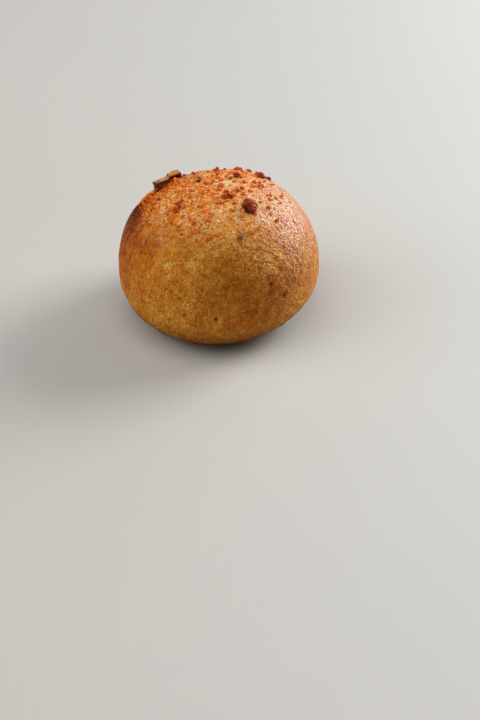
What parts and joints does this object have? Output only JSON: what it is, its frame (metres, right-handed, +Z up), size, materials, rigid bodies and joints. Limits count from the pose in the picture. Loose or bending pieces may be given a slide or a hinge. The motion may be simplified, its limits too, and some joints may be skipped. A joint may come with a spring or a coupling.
{
  "type": "onion bun",
  "caption": "Round golden-brown bread bun on a small flat base, its crown strewn with toasted crumbs and nuggets, with a curled fried onion petal on one shoulder.",
  "frame": {"origin": "middle of the flat base that the bun rests on", "axes": "+Z up through the crown; -Y is the front that the picture shows; +X is to its right"},
  "size_m": [0.08, 0.0803, 0.0582],
  "materials": {
    "crust": "baked golden-brown crust, finely grainy, with a soft broken sheen",
    "fried_onion": "fried onion, tan and finely ribbed, with dark toasted edges"
  },
  "bodies": {
    "root": {"bun": "crust", "onion_petal": "fried_onion"}
  },
  "joints": []
}
